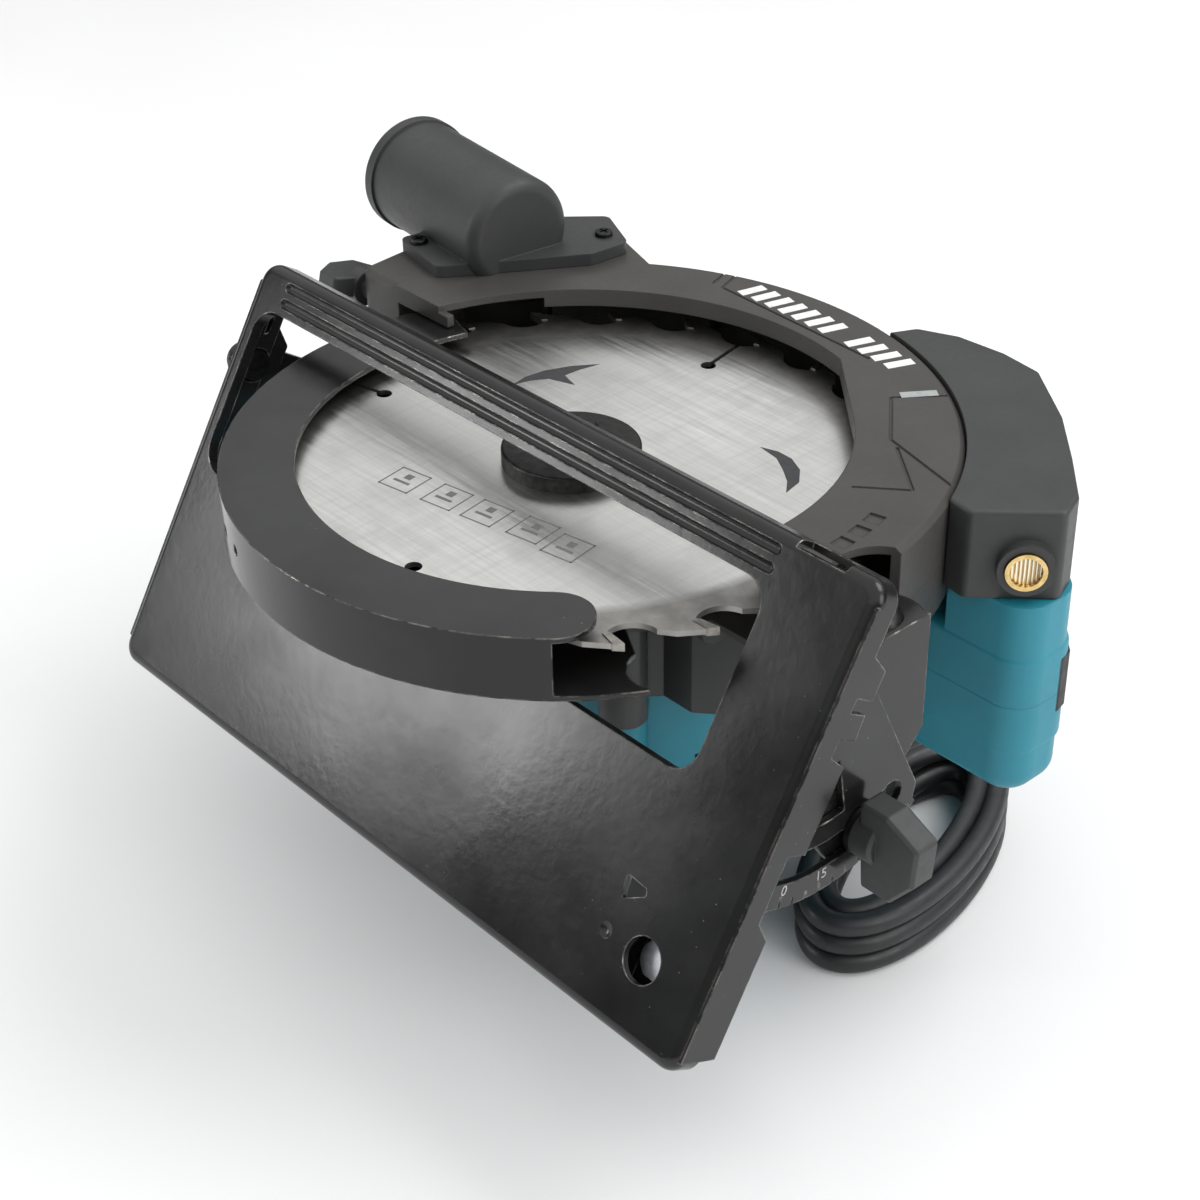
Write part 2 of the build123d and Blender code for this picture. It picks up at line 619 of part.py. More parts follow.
def make_quadrant():
    """Front upright of the base, with the curved clamp slot and the angle scale."""
    low, high = 0, 2
    sole = -BASE_DROP + BASE_T
    disc_part = disc(QUADRANT_R, low, high) & sector(60, 9, 66, low, high)
    arm = slab([(-15, sole), (-15, 2), (-3, 17), (18, 49), (24, 51), (44, 30), (30, 9), (57, 9),
                (56, sole)], low, high)
    plate = disc_part + arm
    plate -= arc_slot(SLOT_R, SLOT_W, 5.5, 61, -1, 3)
    plate -= disc(36, -1, 3) & sector(60, 6, 40, -1, 3) - disc(19, -1, 3)
    plate -= disc(4 + FIT, -1, 3)
    plate -= block(-6.4, -4.4, 5.5, 9.0, -1, 3)
    for step in range(12):
        angle = 8.4 + 5 * step
        deep = 3.4 if step % 3 == 1 else 2.2
        tick = block(QUADRANT_R - deep, QUADRANT_R + 1, -0.22, 0.22, high - 0.3, high + 1)
        plate -= Rot(0, 0, angle) * tick
    foot = block(-12, 55, sole, sole + 2, 0, 4.2)
    plate += foot
    save("bevel_quadrant", plate_frame(Pos(0, 0, PLATE_X) * plate))


def rear_upright_shape():
    """Rear pivot ear of the base."""
    outline = [(-15, -4), (15, -4), (15, 3), (8, 11), (-8, 11), (-15, 3)]
    return slab(outline, 0, 2, 1.2) - disc(4 + FIT, -1, 3)


def make_base_fittings():
    save("rear_upright", plate_frame(Pos(0, 0, BASE_REAR - 2) * rear_upright_shape()))
    sole = -BASE_DROP + BASE_T
    rivets = []
    for across in (-11.2, 11.2):
        rivets.append(Pos(BASE_REAR, across, -0.4) * Rot(0, 90, 0) * side_rivet())
    save("base_rivets", *[base_frame(rivet) for rivet in rivets])
    bridge = block(94, 118, CLAMP_Y - 9, CLAMP_Y + 12, 1.0, 3.0)
    for x in (94, 116):
        bridge += block(x, x + 2, CLAMP_Y - 9, CLAMP_Y + 12, sole, 2)
    bridge -= disc(3.3, -10, 10, CLAMP_X, CLAMP_Y)
    save("fence_bracket", base_frame(bridge))
    screw = Pos(CLAMP_X, CLAMP_Y, 0.6) * Rot(180, 0, 0) * hex_bolt(10, 4.0, 3, 12)
    save("fence_screw", base_frame(screw + ring(6, 3.0, 3.3, 6.5, CLAMP_X, CLAMP_Y)))


def side_rivet():
    """Head of a rivet on the rear ear."""
    return disc(2.8, -3.2, -2.0)


# ---------------------------------------------------------------- depth bracket and clamps
def pivot_point():
    return (BEVEL_Y, BEVEL_Z)


def knob_point():
    """Place of the front clamp screw in y and z."""
    angle = radians(KNOB_ANGLE - BEVEL)
    return (BEVEL_Y + SLOT_R * sin(angle), BEVEL_Z - SLOT_R * cos(angle))


def yz_plate(points, x0, x1, round_by=0.0):
    """Flat outline in y and z, extruded along x."""
    face = make_face(Polyline(*points, close=True))
    if round_by:
        face = fillet(face.vertices(), round_by)
    plane = Plane(origin=(x0, 0, 0), x_dir=(0, 1, 0), z_dir=(1, 0, 0))
    return plane.location * extrude(face, x1 - x0)


def x_rod(radius, x0, x1, point):
    """Cylinder along x through a point given in y and z."""
    return rod(radius, (x0, *point), (x1, *point))


def make_brackets():
    front = PLATE_X - 0.3
    web = yz_plate([(-22, 0), (14.3, 0), (14.3, -34), (9, -40), (2, -46), (-1, -60), (-19, -60),
                    (-28.4, -46), (-28.4, -14)], front - 2, front, 1.5)
    arm = disc(11.3, -2, 0, DEPTH_X, DEPTH_Y) + block(DEPTH_X, front, -7.1, 14.3, -2, 0)
    low_arm = disc(9, -40, -38, DEPTH_X, DEPTH_Y) + block(DEPTH_X, front, -4.8, 9, -40, -38)
    arms = (arm + low_arm) & block(90, front, -20, 20, -50, 5)
    bracket = web + arms
    bracket -= disc(DEPTH_PIN_R, -50, 10, DEPTH_X, DEPTH_Y)
    bracket -= x_rod(4, 100, 130, pivot_point()) + x_rod(3.5, 100, 130, knob_point())
    save("front_bracket", bracket)

    dome = Pos(DEPTH_X, DEPTH_Y, 0) * (Sphere(6.4) & Pos(0, 0, 3) * Box(14, 14, 6))
    dome = Pos(0, 0, -2.4) * dome & block(90, 130, -20, 30, 0, 10)
    pin = disc(DEPTH_PIN_R, -42.5, 1, DEPTH_X, DEPTH_Y) + disc(5.4, -42.5, -40, DEPTH_X, DEPTH_Y)
    save("depth_pin", pin + dome)

    back = BASE_REAR - 2.3
    py, pz = pivot_point()
    eye = x_rod(6, back - 2, back, (py, pz))
    strip = yz_plate([(py + 3.1, pz + 5.1), (10, -22.2), (10, -24.6), (-4, -24.6),
                      (py - 3.1, pz - 5.1)], back - 2, back)
    link = slab([(back - 2, -4), (-100, -4), (-100, 12), (back - 2, 10)], -24.6, -22.2)
    guide = arc_slot(DEPTH_ARC_R, 17, 150, 184, -24.6, -22.2, DEPTH_X, DEPTH_Y)
    guide -= arc_slot(DEPTH_ARC_R, 7, 152, 174, -30, -20, DEPTH_X, DEPTH_Y)
    save("depth_guide", eye + strip + link + guide - x_rod(4, -140, -120, (py, pz)))
    front_pin = x_rod(4, front - 2, PLATE_X + 2.4, pivot_point())
    front_pin += x_rod(4.9, PLATE_X + 2.4, PLATE_X + 4.4, pivot_point())
    front_pin += x_rod(6.5, front - 4, front - 2, pivot_point())
    rear_pin = x_rod(4, back - 2, BASE_REAR + 0.3, pivot_point())
    rear_pin += x_rod(4.9, BASE_REAR + 0.3, BASE_REAR + 2.2, pivot_point())
    rear_pin += x_rod(4.9, back - 4, back - 2, pivot_point())
    save("bevel_pins", front_pin, rear_pin)


def wing_outline():
    """Side view of a wing knob's wing: distance from the hub's face, and place along the wing."""
    return [(0.5, 11.4), (9.7, 11.4), (20.2, 6.4), (19.2, -5.6), (11.9, -14.6), (2.2, -14.6)]


def wing_knob():
    """Wing knob whose hub stands on z = 0, with the wing along y."""
    face = make_face(Polyline(*wing_outline(), close=True))
    wing = extrude(fillet(face.vertices(), 1.6), 4.3, both=True)
    wing = chamfer(wing.edges().group_by(Axis.Z)[0] + wing.edges().group_by(Axis.Z)[-1], 0.9)
    hub = chamfer(Cylinder(6.8, 7.0, align=MIN_Z).edges().group_by(Axis.Z)[-1], 0.9)
    return hub + Rot(0, -90, 0) * wing


def make_knobs():
    ky, kz = knob_point()
    x0 = PLATE_X + 2.4
    knob = facing_x(Rot(0, 0, 90) * wing_knob(), x0 + 1.4, ky, kz)
    save("bevel_knob", knob - x_rod(3.45, x0, x0 + 6, (ky, kz)))
    screw = x_rod(3.45, PLATE_X - 7, x0 + 6, (ky, kz)) + x_rod(7, x0, x0 + 1.4, (ky, kz))
    save("bevel_knob_screw", screw)
    back = BASE_REAR - 0.6
    small = Pos(back, *DEPTH_KNOB) * Rot(0, -90, 0) * Rot(0, 0, 14) * scale(wing_knob(), by=0.86)
    save("rear_knob", small + x_rod(3.45, back, -112.5, DEPTH_KNOB))
    cx, cy = CLAMP
    bolt = disc(3, -27.2, -14, cx, cy) + disc(6, -15.8, -13.3, cx, cy) + disc(5, -27.2, -24.9, cx, cy)
    save("depth_bolt", bolt)


# ---------------------------------------------------------------- handle
def handle_face():
    """Side view of the handle: front grip, arch over the motor and rear grip."""
    outline = [
        (62, 48), (122.5, 48), (122.5, 68), (110, 79), (88, 98), (68, 116), (44, 131), (0, 142),
        (-50, 136), (-88, 116), (-108, 84), (-104, 62), (-86, 52), (-66, 58), (-48, 73.5),
        (46, 73.5),
    ]
    gap = [(-72, 82), (-56, 104), (-30, 112), (10, 114), (38, 106), (66, 84), (50, 81), (-50, 81)]
    face = fillet(make_face(Polyline(*outline, close=True)).vertices(), 9)
    hole = fillet(make_face(Polyline(*gap, close=True)).vertices(), 7)
    return face - hole


def handle_body(low, high, fillet_group):
    """One half of the handle with its outer edge rounded."""
    half = extrude(Pos(0, 0, low) * handle_face(), high - low)
    return fillet(half.edges().group_by(Axis.Z)[fillet_group], 3)


def grip_block(low, high):
    """Front grip below the laser, deeper than the rest of the handle."""
    points = [(72, 48.2), (122.3, 48.2), (122.3, 67), (109, 78), (84, 86)]
    return slab(points, low, high, 9)


def make_handle():
    left = handle_body(HANDLE_MID, HANDLE_MID + HANDLE_T, -1)
    left += grip_block(HANDLE_MID, -14.3) - disc(COVER_R + 0.3, -60, 0)
    left -= disc(COVER_R + 0.3, SHELL_BACK - 0.3, 0)
    right = handle_body(HANDLE_MID - HANDLE_T, HANDLE_MID, 0)
    nose = grip_block(-76, HANDLE_MID)
    nose = fillet(nose.edges().group_by(Axis.Z)[0], 7)
    right += nose
    pocket = block(4, 40, 100, 128, HANDLE_MID - 7, HANDLE_MID + 7)
    button_hole = rod(4.3, (52, 119, HANDLE_MID), (52, 119, HANDLE_MID + 20))
    cavity = block(-40, 3, 118, 132, HANDLE_MID - 8, HANDLE_MID + 8)
    cavity += block(46.6, 57.4, 113.6, 124.4, HANDLE_MID - 6, HANDLE_MID + 10)
    left -= pocket + button_hole + cavity
    right -= pocket + cavity
    left -= pad_shape()
    right -= pad_shape()
    housing = disc(MOTOR_R + 0.2, -130, -30, 0, MOTOR_Y) + disc(7.6, -70, -29, *boss_places()[1])
    housing += disc(7.6, -70, -29, *boss_places()[2])
    left -= housing
    right -= housing + block(-31, 31, 50, 78.2, -100, SPLIT_Z + 0.2)
    for x, y in HANDLE_SCREWS:
        right -= disc(1.8, -90, HANDLE_MID + 1, x, y) + disc(3.8, -90, HANDLE_MID - 13, x, y)
        left -= disc(1.8, HANDLE_MID - 1, HANDLE_MID + 10, x, y)
    exit_x, exit_y = CORD_EXIT
    right -= disc(6.2, -70, HANDLE_MID - 6, exit_x, exit_y)
    save("handle_left", left)
    save("handle_right", right)
    screws = []
    for x, y in HANDLE_SCREWS:
        screw = pan_screw(3.4, 2.2, 1.75, 20)
        screws.append(Pos(x, y, HANDLE_MID - 13) * Rot(180, 0, 0) * screw)
    save("handle_screws", *screws)
    save("grip_pad", pad_shape())

    trigger = slab([(8, 106), (34, 106), (37, 111), (37, 122), (7, 122), (5, 112)],
                   HANDLE_MID - 6, HANDLE_MID + 6, 2)
    save("trigger", trigger)
    switch = block(-38, 1.5, 119, 131, HANDLE_MID - 7.5, HANDLE_MID + 7.5)
    save("trigger_switch", switch)
    button = rod(4, (52, 119, HANDLE_MID + 4), (52, 119, HANDLE_MID + HANDLE_T + 3.4))
    button += rod(4.9, (52, 119, HANDLE_MID + 2), (52, 119, HANDLE_MID + 4.6))
    save("lock_off_button", button)
    plunger = lock_pin() & block(33.5, 52, -5, 12, -40, -20)
    save("spindle_lock_button", plunger + rod(6, (50, 4, -29.5), (54, 4, -29.5)))


def pad_shape():
    """Soft pad set almost flush into the upper side of the front grip."""
    outer = [(96, 70), (112, 58), (122.9, 64), (121.6, 69.2), (110.6, 79.8), (98.4, 90.2)]
    inner = [(80, 60), (112, 60), (118, 65), (95, 83)]
    return slab(outer, -52, -35, 2) - slab(inner, -70, -20)


# ---------------------------------------------------------------- cord
def cord_points():
    """Middle line of the stretch from the handle to the coil."""
    exit_x, exit_y = CORD_EXIT
    return [
        (exit_x, exit_y, CORD_START), (exit_x, exit_y, CORD_START - 19),
        (exit_x + 5, exit_y + 7, -124), (exit_x + 18, exit_y + 17, -141),
        (exit_x + 38, exit_y + 28, CORD_Z), (-28, 122, CORD_Z), (-4, 131, CORD_Z),
        (20, 135.5, CORD_Z), (52, 128, CORD_Z),
    ]


def smooth_path(points):
    """Straight runs joined by arcs as large as the runs allow."""
    corners = [Vector(*point) for point in points]
    radii = []
    for before, here, after in zip(corners, corners[1:], corners[2:]):
        turn = radians((here - before).get_angle(after - here))
        short = min((here - before).length, (after - here).length)
        radii.append(0.45 * short / tan(turn / 2))
    return FilletPolyline(*points, radius=radii)


def sweep_tube(path, radius):
    """Round tube along a path."""
    return sweep(Plane(origin=path @ 0, z_dir=path % 0) * Circle(radius), path)


def make_cord():
    exit_x, exit_y = CORD_EXIT
    relief = Pos(exit_x, exit_y, CORD_START) * Cone(5.0, 6.1, 40, align=MIN_Z)
    for step in range(5):
        relief -= ring(7, 5.2, CORD_START + 6 + step * 5, CORD_START + 7.6 + step * 5, exit_x, exit_y)
    save("strain_relief", relief)
    path = smooth_path(cord_points())
    tube = sweep_tube(path, CORD_R)
    tail_path = smooth_path([(37.5, 99.5, CORD_Z), (26, 98.2, CORD_Z), (17, 95, CORD_Z + 2.6),
                             (9, 94, CORD_Z + 3.5)])
    coil = Pos(COIL_X, COIL_Y, MOTOR_END) * Rot(0, 0, COIL_TURN) * coil_solid()
    save("cord_coil", coil)
    tube -= coil
    tail = sweep_tube(tail_path, CORD_R) - coil
    save("cord", tube, tail)
    plug = block(-26, 8, 84, 104, MOTOR_END, MOTOR_END + 14)
    plug = fillet(plug.edges().filter_by(Axis.X), 4)
    plug -= tail
    save("plug_body", plug)
    pins = [rod(2.4, (-26, 94 + side * 6, MOTOR_END + 7), (-45, 94 + side * 6, MOTOR_END + 7))
            for side in (-1, 1)]
    save("plug_pins", *pins)


def coil_solid():
    """Outer shape of the coiled cord: an oval ring lying on the floor."""
    outer = extrude(Ellipse(COIL_LONG, COIL_SHORT), COIL_H)
    return outer - extrude(Ellipse(COIL_LONG - COIL_BAND, COIL_SHORT - COIL_BAND), COIL_H)


make_spindle_group()
make_rotor_group()
make_gear_housing()
make_motor()
make_fixed_guard()
make_moving_guard()
make_dust_port()
make_laser()
make_base()
make_quadrant()
make_base_fittings()
make_brackets()
make_knobs()
make_handle()
make_cord()
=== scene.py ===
"""Looks of the corded circular saw: materials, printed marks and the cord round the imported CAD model.

Metres, in the part's own frame: origin in the middle of the motor's end face, +Z along the spindles.
"""
import math
import random

import bmesh
import bpy
from mathutils import Matrix, Vector


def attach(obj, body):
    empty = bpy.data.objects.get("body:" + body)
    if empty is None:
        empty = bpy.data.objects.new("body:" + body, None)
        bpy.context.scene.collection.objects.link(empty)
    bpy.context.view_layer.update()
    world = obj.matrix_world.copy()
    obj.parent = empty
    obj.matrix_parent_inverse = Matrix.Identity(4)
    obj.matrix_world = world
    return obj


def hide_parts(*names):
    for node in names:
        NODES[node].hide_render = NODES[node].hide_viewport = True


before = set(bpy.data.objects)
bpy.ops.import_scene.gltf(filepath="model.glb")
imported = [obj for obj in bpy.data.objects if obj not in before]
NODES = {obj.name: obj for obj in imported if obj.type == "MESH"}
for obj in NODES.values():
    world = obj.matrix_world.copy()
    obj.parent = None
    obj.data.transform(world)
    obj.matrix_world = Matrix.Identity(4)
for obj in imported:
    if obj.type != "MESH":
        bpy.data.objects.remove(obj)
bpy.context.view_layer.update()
MM = 0.001
SPINDLE = Vector((0.0, -0.029, 0.150))      # middle of the blade
FLOOR = 0.0
CORD_R = 0.0035
BEVEL = math.radians(31.2)                  # tilt of the base at rest
CAMERA_LENS = 67.4                          # for a 36 mm wide sensor
CAMERA_PLACE = (410.0, -350.5, 304.9)       # millimetres from the middle of the blade
CAMERA_FORWARD = (-0.630, 0.553, -0.545)
CAMERA_DOWN = (0.397, -0.373, -0.839)

rng = random.Random(4)


def blade_point(x, y, z):
    """Row point of a place given in millimetres from the middle of the blade."""
    return SPINDLE + Vector((x, y, z)) * MM


# ---------------------------------------------------------------- camera
def make_camera():
    data = bpy.data.cameras.new("camera")
    data.sensor_width = 36.0
    data.lens = CAMERA_LENS
    camera = bpy.data.objects.new("camera", data)
    bpy.context.collection.objects.link(camera)
    forward = Vector(CAMERA_FORWARD).normalized()
    down = Vector(CAMERA_DOWN)
    up = (-down - forward * forward.dot(-down)).normalized()
    right = forward.cross(up)
    turn = Matrix((right, up, -forward)).transposed()
    camera.matrix_world = Matrix.Translation(blade_point(*CAMERA_PLACE)) @ turn.to_4x4()
    bpy.context.scene.camera = camera


# ---------------------------------------------------------------- cord
CORD_ROUTE = [
    (-0.092, 0.047, 0.053), (-0.092, 0.047, 0.034), (-0.087, 0.054, 0.026), (-0.074, 0.064, 0.009),
    (-0.054, 0.075, 0.0035), (-0.028, 0.093, 0.0035), (-0.004, 0.102, 0.0035),
    (0.020, 0.1065, 0.0035),
]
CORD_TAIL = [
    (0.0325, 0.061, 0.0160), (0.0285, 0.068, 0.0100), (0.022, 0.0695, 0.0055),
    (0.0155, 0.067, 0.0062), (0.0095, 0.065, 0.0070),
]
COIL_CENTRE = (0.064, 0.0474)
COIL_TURN = 107.0
COIL_TURNS = 6
COIL_LAYERS = 3
COIL_LONG = 0.0535                          # half length of the outer column's middle line
COIL_SHORT = 0.0240
COLUMN_PITCH = 0.0074
LAYER_PITCH = 0.0069
STEP_TO_NEXT = 0.55                         # share of a turn that stays level
TURN_POINTS = 14


def coil_points():
    """Turns of the coil, two side by side and then the next layer on top of them."""
    long_axis = Vector((math.cos(math.radians(COIL_TURN)), math.sin(math.radians(COIL_TURN))))
    short_axis = Vector((-long_axis.y, long_axis.x))
    sizes = []
    for turn in range(COIL_TURNS + 1):
        layer, column = divmod(turn, 2)
        inward = column if layer % 2 == 0 else 1 - column
        loose = rng.uniform(-1.2, 0.0) * MM
        height = CORD_R + min(layer, COIL_LAYERS - 1) * LAYER_PITCH
        sizes.append((inward * COLUMN_PITCH, height, loose))
    points = []
    total = COIL_TURNS * TURN_POINTS - 2
    for step in range(1, total):
        turn, part = divmod(step, TURN_POINTS)
        ease = max(0.0, (part / TURN_POINTS - STEP_TO_NEXT) / (1 - STEP_TO_NEXT))
        here, after = sizes[turn], sizes[turn + 1]
        inward = here[0] + (after[0] - here[0]) * ease
        height = here[1] + (after[1] - here[1]) * ease
        loose = here[2] + (after[2] - here[2]) * ease
        angle = -2 * math.pi * step / TURN_POINTS
        reach = (COIL_LONG - inward + loose) * math.cos(angle)
        width = (COIL_SHORT - inward + loose) * math.sin(angle)
        place = long_axis * reach + short_axis * width
        points.append((COIL_CENTRE[0] + place.x, COIL_CENTRE[1] + place.y, height))
    return points


def make_cord():
    """Whole cord as one tube: down from the handle, round the coil and on to the plug."""
    curve = bpy.data.curves.new("power_cord", "CURVE")
    curve.dimensions = "3D"
    curve.bevel_depth = CORD_R
    curve.bevel_resolution = 6
    curve.resolution_u = 8
    curve.use_fill_caps = True
    route = CORD_ROUTE + coil_points() + CORD_TAIL
    spline = curve.splines.new("NURBS")
    spline.points.add(len(route) - 1)
    for point, place in zip(spline.points, route):
        point.co = (*place, 1.0)
    spline.order_u = 3
    spline.use_endpoint_u = True
    cord = bpy.data.objects.new("power_cord", curve)
    bpy.context.collection.objects.link(cord)
    cord.data.materials.append(rubber("cord_rubber", (0.018, 0.019, 0.020), 0.42))
    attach(cord, "saw")
    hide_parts("cord", "cord_coil")


# ---------------------------------------------------------------- shader helpers
class Shader:
    """Node tree of one material, with its Principled shader ready."""

    def __init__(self, name):
        self.material = bpy.data.materials.new(name)
        self.material.use_nodes = True
        self.tree = self.material.node_tree
        self.main = self.tree.nodes["Principled BSDF"]

    def node(self, kind, **values):
        made = self.tree.nodes.new(kind)
        for key, value in values.items():
            if hasattr(made, key) and key not in made.inputs:
                setattr(made, key, value)
            else:
                made.inputs[key].default_value = value
        return made

    def link(self, source, target):
        self.tree.links.new(source, target)

    def place(self):
        return self.node("ShaderNodeTexCoord").outputs["Object"]

    def noise(self, scale, detail=4.0, rough=0.55, stretch=None):
        texture = self.node("ShaderNodeTexNoise", Scale=scale, Detail=detail, Roughness=rough)
        source = self.place()
        if stretch:
            mapping = self.node("ShaderNodeMapping", Scale=stretch)
            self.link(source, mapping.inputs["Vector"])
            source = mapping.outputs["Vector"]
        self.link(source, texture.inputs["Vector"])
        return texture.outputs["Fac"]

    def ramp(self, source, stops):
        """Colour ramp; each stop is a position and a grey value or colour."""
        ramp = self.node("ShaderNodeValToRGB")
        elements = ramp.color_ramp.elements
        while len(elements) < len(stops):
            elements.new(0.5)
        for element, (position, value) in zip(elements, stops):
            element.position = position
            element.color = (*value, 1) if isinstance(value, tuple) else (value, value, value, 1)
        self.link(source, ramp.inputs["Fac"])
        return ramp.outputs["Color"]

    def mix(self, factor, first, second):
        """Blend of two colours; each is a colour or a socket."""
        mix = self.node("ShaderNodeMix", data_type="RGBA")
        for socket, value in ((mix.inputs[6], first), (mix.inputs[7], second)):
            if isinstance(value, tuple):
                socket.default_value = (*value, 1)
            else:
                self.link(value, socket)
        self.link(factor, mix.inputs[0])
        return mix.outputs[2]

    def maths(self, operation, first, second):
        made = self.node("ShaderNodeMath", operation=operation)
        for socket, value in zip(made.inputs, (first, second)):
            if isinstance(value, (int, float)):
                socket.default_value = value
            else:
                self.link(value, socket)
        return made.outputs[0]

    def edges(self, radius, low, high):
        """Mask that is 1 on worn edges, from how far a rounded normal leans off the true one."""
        bevel = self.node("ShaderNodeBevel", samples=4, Radius=radius)
        geometry = self.node("ShaderNodeNewGeometry")
        lean = self.node("ShaderNodeVectorMath", operation="DOT_PRODUCT")
        self.link(bevel.outputs["Normal"], lean.inputs[0])
        self.link(geometry.outputs["Normal"], lean.inputs[1])
        flipped = self.maths("SUBTRACT", 1.0, lean.outputs["Value"])
        return self.ramp(flipped, [(low, 0.0), (high, 1.0)])

    def bump(self, height, strength, distance, soft_edge=0.0):
        bump = self.node("ShaderNodeBump", Strength=strength, Distance=distance)
        self.link(height, bump.inputs["Height"])
        if soft_edge:
            bevel = self.node("ShaderNodeBevel", samples=4, Radius=soft_edge)
            self.link(bevel.outputs["Normal"], bump.inputs["Normal"])
        self.link(bump.outputs["Normal"], self.main.inputs["Normal"])

    def set(self, **values):
        for key, value in values.items():
            self.main.inputs[key.replace("_", " ")].default_value = value


def plastic(name, colour, rough, grain=2600.0, variation=0.12):
    """Moulded plastic: fine spark-eroded grain, slight colour and gloss variation."""
    shader = Shader(name)
    cloud = shader.noise(38.0, 3.0)
    dark = tuple(channel * (1 - variation) for channel in colour)
    light = tuple(min(1.0, channel * (1 + variation)) for channel in colour)
    shader.link(shader.ramp(cloud, [(0.3, dark), (0.7, light)]), shader.main.inputs["Base Color"])
    spots = shader.noise(420.0, 2.0)
    shader.link(shader.ramp(spots, [(0.25, rough - 0.05), (0.75, rough + 0.06)]),
                shader.main.inputs["Roughness"])
    shader.bump(shader.noise(grain, 2.0), 0.22, 0.00012, 0.0006)
    shader.set(Specular_IOR_Level=0.42)
    return shader.material


def rubber(name, colour, rough):
    """Matt soft rubber with a cloudy tone."""
    shader = Shader(name)
    cloud = shader.noise(90.0, 4.0)
    dark = tuple(channel * 0.75 for channel in colour)
    light = tuple(channel * 1.5 for channel in colour)
    shader.link(shader.ramp(cloud, [(0.3, dark), (0.75, light)]), shader.main.inputs["Base Color"])
    shader.link(shader.ramp(shader.noise(240.0, 3.0), [(0.3, rough - 0.08), (0.7, rough + 0.1)]),
                shader.main.inputs["Roughness"])
    shader.bump(shader.noise(900.0, 3.0), 0.15, 0.0001)
    return shader.material


def enamel(name, wear=True):
    """Glossy black enamel on pressed steel: orange peel, dust specks, painted bluish cloudy reflections,
    worn edges.
    """
    shader = Shader(name)
    # Painted reflection: lighter, bluish cloudy patches in the enamel's colour stand in for reflections
    # of the bright sky.
    reflection_haze = shader.noise(26.0, 5.0, 0.62)
    colour = shader.ramp(reflection_haze, [(0.35, (0.007, 0.0068, 0.0064)), (0.75, (0.018, 0.0185, 0.019))])
    rough = shader.ramp(shader.noise(19.0, 6.0, 0.6), [(0.32, 0.14), (0.55, 0.21), (0.78, 0.34)])
    dust = shader.node("ShaderNodeTexVoronoi", Scale=310.0, Randomness=1.0)
    shader.link(shader.place(), dust.inputs["Vector"])
    speck = shader.ramp(dust.outputs["Distance"], [(0.035, 1.0), (0.07, 0.0)])
    patchy = shader.ramp(shader.noise(14.0, 3.0), [(0.52, 0.0), (0.66, 1.0)])
    specks = shader.maths("MULTIPLY", speck, patchy)
    colour = shader.mix(specks, colour, (0.20, 0.19, 0.17))
    if wear:
        edge = shader.edges(0.0007, 0.02, 0.16)
        chips = shader.ramp(shader.noise(160.0, 5.0, 0.7), [(0.44, 0.0), (0.60, 1.0)])
        bare = shader.maths("MULTIPLY", edge, chips)
        colour = shader.mix(bare, colour, (0.42, 0.39, 0.35))
        shader.link(bare, shader.main.inputs["Metallic"])
    shader.link(colour, shader.main.inputs["Base Color"])
    shader.link(rough, shader.main.inputs["Roughness"])
    shader.bump(shader.noise(330.0, 2.0), 0.10, 0.00025, 0.0005)
    shader.set(Specular_IOR_Level=0.40)
    return shader.material


def steel(name, light, dark, rough, scale=(1.0, 1.0, 1.0), streak=500.0, bump=0.06):
    """Bare machined metal with fine streaks."""
    shader = Shader(name)
    streaks = shader.noise(streak, 3.0, 0.6, scale)
    shader.link(shader.ramp(streaks, [(0.3, dark), (0.7, light)]), shader.main.inputs["Base Color"])
    shader.link(shader.ramp(shader.noise(60.0, 4.0), [(0.3, rough - 0.06), (0.7, rough + 0.08)]),
                shader.main.inputs["Roughness"])
    shader.bump(streaks, bump, 0.0001)
    shader.set(Metallic=1.0)
    return shader.material


def blade_steel():
    """Ground blade plate: straight grinding lines on the disc, a duller turned rim and stains."""
    shader = Shader("blade_steel")
    place = shader.place()
    shifted = shader.node("ShaderNodeVectorMath", operation="SUBTRACT")
    shader.link(place, shifted.inputs[0])
    shifted.inputs[1].default_value = SPINDLE
    radius = shader.node("ShaderNodeVectorMath", operation="LENGTH")
    flat = shader.node("ShaderNodeVectorMath", operation="MULTIPLY")
    shader.link(shifted.outputs[0], flat.inputs[0])
    flat.inputs[1].default_value = (1, 1, 0)
    shader.link(flat.outputs[0], radius.inputs[0])
    lines = shader.noise(900.0, 4.0, 0.65, (0.035, 1.0, 1.0))
    cross = shader.noise(700.0, 3.0, 0.6, (1.0, 0.05, 1.0))
    disc = shader.ramp(lines, [(0.25, (0.62, 0.62, 0.60)), (0.75, (0.80, 0.80, 0.775))])
    disc = shader.mix(shader.ramp(cross, [(0.45, 0.0), (0.8, 0.35)]), disc, (0.50, 0.50, 0.49))
    stains = shader.ramp(shader.noise(30.0, 5.0, 0.6), [(0.5, 0.0), (0.72, 0.4)])
    disc = shader.mix(stains, disc, (0.36, 0.36, 0.35))
    rim = shader.ramp(shader.noise(200.0, 4.0), [(0.3, (0.30, 0.295, 0.28)), (0.7, (0.42, 0.41, 0.39))])
    outside = shader.ramp(radius.outputs["Value"], [(0.0768, 0.0), (0.0776, 1.0)])
    shader.link(shader.mix(outside, disc, rim), shader.main.inputs["Base Color"])
    rough = shader.ramp(lines, [(0.3, 0.30), (0.7, 0.42)])
    shader.link(shader.mix(outside, rough, (0.48, 0.48, 0.48)), shader.main.inputs["Roughness"])
    shader.bump(lines, 0.10, 0.00008)
    shader.set(Metallic=1.0, Anisotropic=0.45)
    return shader.material


